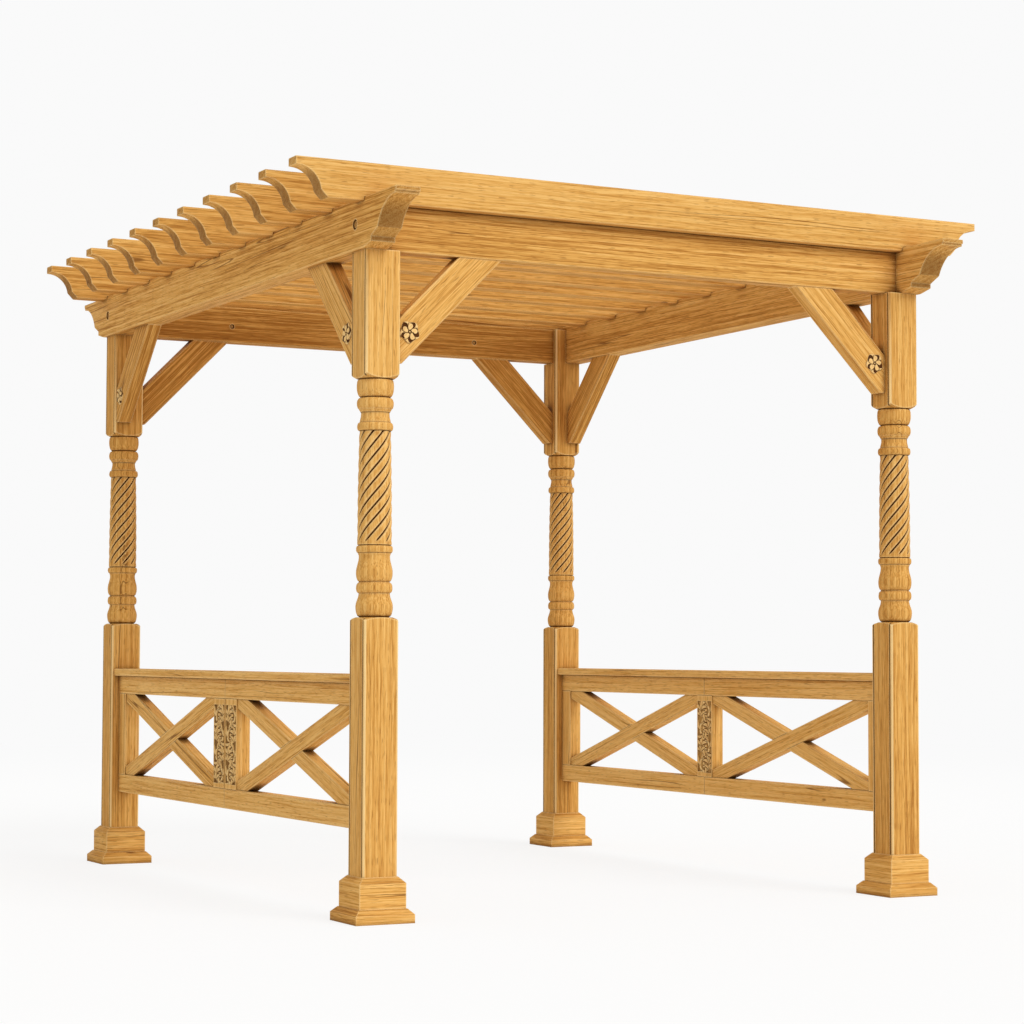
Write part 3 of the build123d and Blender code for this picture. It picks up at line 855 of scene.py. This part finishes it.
def gouged(x, y):
    """How deep the gouge went: whirling slits between the petals, a crescent in each, a middle ring."""
    def spot(place, angle, radius):
        gap = np.hypot(x - place * cos(angle), y - place * sin(angle))
        return np.clip((radius - gap) / pocket_edge + 0.5, 0, 1)

    radius = np.hypot(x, y)
    turn = (np.arctan2(y, x) + whirl * radius) * petal_count / (2 * pi)
    across = ((turn + 0.5) % 1 - 0.5) * 2 * pi * radius / petal_count
    depth = slit_depth * np.exp(-(across / slit_width) ** 2)
    depth = np.maximum(depth, spot(0, 0, eye_radius)) * (1 - spot(0, 0, button_radius))
    for petal, size in enumerate(pocket_sizes):
        angle = 2 * pi * (petal + 0.5) / petal_count - whirl * pocket_place
        shield = spot(shield_place, angle + shield_turn, shield_radius)
        depth = np.maximum(depth, spot(pocket_place, angle, size * pocket_radius) * (1 - shield))
    return depth


widest = rosette_radius + scallop
rosette_rise = [(widest * (1 - share), rosette_floor) for share in np.linspace(0, 1, rosette_rings)]
pattern_rosette = lathed([(0, -rosette_glue), (widest, -rosette_glue)] + rosette_rise, rosette_steps)
table = places(pattern_rosette)
reach = rosette_outline(np.arctan2(table[:, 1], table[:, 0]))
table[:, :2] *= (reach / widest)[:, None]
depth = gouged(table[:, 0], table[:, 1])
inside = np.clip((reach - np.hypot(table[:, 0], table[:, 1])) / skirt, 0, 1)
upper = table[:, 2] > 0
table[:, 2] += upper * rosette_height * (1 - depth) * np.sqrt(inside)
move_to(pattern_rosette, table)
# Painted shade in the gouged slits and pockets; the petal tops paler, as wear and painted highlight.
paint(pattern_rosette, "hollow_shade", upper * inside * depth)
paint(pattern_rosette, "crest_wear_and_highlight", petal_wear_and_highlight * upper * (1 - depth))
smooth(pattern_rosette, rosette_smooth_angle)
for count, corner in enumerate(corners):
    inward = 1 if "left" in corner else -1
    onward = 1 if "front" in corner else -1
    for kind in ("cross", "side"):
        low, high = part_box(f"{corner}_{kind}_brace")
        reach = high.x - low.x if kind == "cross" else high.y - low.y
        height = high.z - reach + brace_width / 2 ** 0.5 + rosette_inset
        rosette = copied(pattern_rosette, f"{corner}_{kind}_rosette")
        if kind == "cross":
            place = ((low.x if inward > 0 else high.x) + inward * rosette_inset,
                     low.y if onward > 0 else high.y, height)
            turn = Matrix.Rotation(onward * pi / 2, 4, "X")
            along = (inward, 0, 1)
        else:
            place = (low.x if inward > 0 else high.x,
                     (low.y if onward > 0 else high.y) + onward * rosette_inset, height)
            turn = Matrix.Rotation(-inward * pi / 2, 4, "Y")
            along = (0, onward, 1)
        rosette.data.transform(Matrix.Translation(place) @ turn)
        wear(rosette, honey_timber(rosette.name + "_timber", along, rosette_grain + count, rosette_tone,
                                   carved=rosette_hollow_shade))
        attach(rosette, "root")
bpy.data.objects.remove(pattern_rosette)


# Rafters: eleven timbers on edge, notched over the side beams, each end with a nose, a cove and a
# bevelled heel. Every rafter is a board of its own, so each has its own stretch of grain.
rafter_ease, rafter_brow = 0.003, 0.034
# The moulded ends take more stain, and below the brow they are darker still, as painted shade under the
# nose.
rafter_grain, rafter_end_stain_and_shade, rafter_vigour = 52, 0.66, 0.8
# The front rafter is painted a lighter tone, as painted light; the others are darker, as shade under the
# roof.
front_rafter_light_tone, other_rafter_shade_tone = 0.06, -0.05
rafters = sorted(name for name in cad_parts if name.startswith("rafter_"))
for count, name in enumerate(rafters):
    rafter = eased_copy(name.replace("rafter", "moulded_rafter"), name, rafter_ease)
    rafter_light_and_shade_tone = front_rafter_light_tone if name == "rafter_1" else other_rafter_shade_tone
    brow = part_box(name)[1].z - rafter_brow
    wear(rafter, honey_timber(name + "_timber", LEVEL_X, rafter_grain + count, rafter_light_and_shade_tone,
                              end_stain_and_shade=rafter_end_stain_and_shade, brow=brow, vigour=rafter_vigour))


# Floor: a wide studio floor in pale matt paint. It keeps the soft shadow near the posts, and fades
# into the backdrop's white farther out.
floor_size, fade_start, fade_end = 120.0, 5.0, 16.0
backdrop_white, floor_glow = 0.955, 0.80
floor_colour, pure_white = (0.92, 0.92, 0.92, 1), (1, 1, 1, 1)


def backdrop_rays(tree):
    """One for the rays that show the backdrop: from the camera, or by way of a glossy or clear surface."""
    rays = node(tree, "LightPath").outputs
    by_way = maths(tree, "MAXIMUM", rays["Is Glossy Ray"], rays["Is Transmission Ray"])
    return maths(tree, "MAXIMUM", rays["Is Camera Ray"], by_way)


bpy.ops.object.select_all(action="DESELECT")
bpy.ops.mesh.primitive_plane_add(size=floor_size)
floor = bpy.context.object
floor.name = "studio_floor"
floor_paint = bpy.data.materials.new("pale_floor")
floor_paint.use_nodes = True
tree = floor_paint.node_tree
tree.nodes.remove(tree.nodes["Principled BSDF"])
matt = node(tree, "BsdfDiffuse", {"Color": floor_colour}).outputs[0]
glow = node(tree, "Emission", {"Color": pure_white, "Strength": 1.0}).outputs[0]
far_glow = node(tree, "Emission", {"Color": (backdrop_white,) * 3 + (1,), "Strength": 1.0}).outputs[0]
seen = backdrop_rays(tree)
reach = node(tree, "VectorMath", {0: node(tree, "TexCoord").outputs["Object"]}, operation="LENGTH")
distance = ramped(tree, reach.outputs["Value"], fade_start, fade_end)
near = node(tree, "MixShader", {0: maths(tree, "MULTIPLY", seen, floor_glow), 1: matt, 2: glow}).outputs[0]
both = node(tree, "MixShader", {0: maths(tree, "MULTIPLY", seen, distance), 1: near, 2: far_glow}).outputs[0]
tree.links.new(both, tree.nodes["Material Output"].inputs["Surface"])
wear(floor, floor_paint)


# Studio light: an even, slightly warm surround, and one broad soft lamp in front, high and to the
# right. The backdrop's white is for the rays that show it, and lights nothing.
world_fill, fill_colour = 0.68, (1, 0.985, 0.95, 1)
key_strength, key_softness = 1.55, radians(38)
key_height, key_side = radians(38), radians(20)
world = bpy.data.worlds.new("white_studio")
bpy.context.scene.world = world
world.use_nodes = True
tree = world.node_tree
tree.nodes.clear()
fill = node(tree, "Background", {"Color": fill_colour, "Strength": world_fill}).outputs[0]
backdrop = node(tree, "Background", {"Color": pure_white, "Strength": backdrop_white}).outputs[0]
surround = node(tree, "MixShader", {0: backdrop_rays(tree), 1: fill, 2: backdrop}).outputs[0]
node(tree, "OutputWorld", {"Surface": surround})
key = bpy.data.objects.new("key_lamp", bpy.data.lights.new("key_lamp", "SUN"))
key.data.energy = key_strength
key.data.angle = key_softness
key.rotation_euler = (pi / 2 - key_height, 0, key_side)
bpy.context.collection.objects.link(key)


# Camera: about a metre over the ground, off the front left corner, with a long lens and a small roll.
# Its place and its lens were fitted to the edges of the posts, bases, beams and rafters.
camera = bpy.data.objects.new("camera", bpy.data.cameras.new("camera"))
camera.data.lens = 87.71
camera.data.sensor_width = 36.0
camera.data.clip_end = 300.0
camera.location = (-5.1765, -10.2116, 1.0323)
yaw, pitch, roll = radians(27.54), radians(3.17), radians(0.165)
level_view = Euler((pi / 2 + pitch, 0, -yaw)).to_quaternion()
camera.rotation_euler = (level_view @ Quaternion((0, 0, 1), roll)).to_euler()
bpy.context.collection.objects.link(camera)
bpy.context.scene.camera = camera
bpy.context.scene.view_settings.view_transform = "Standard"
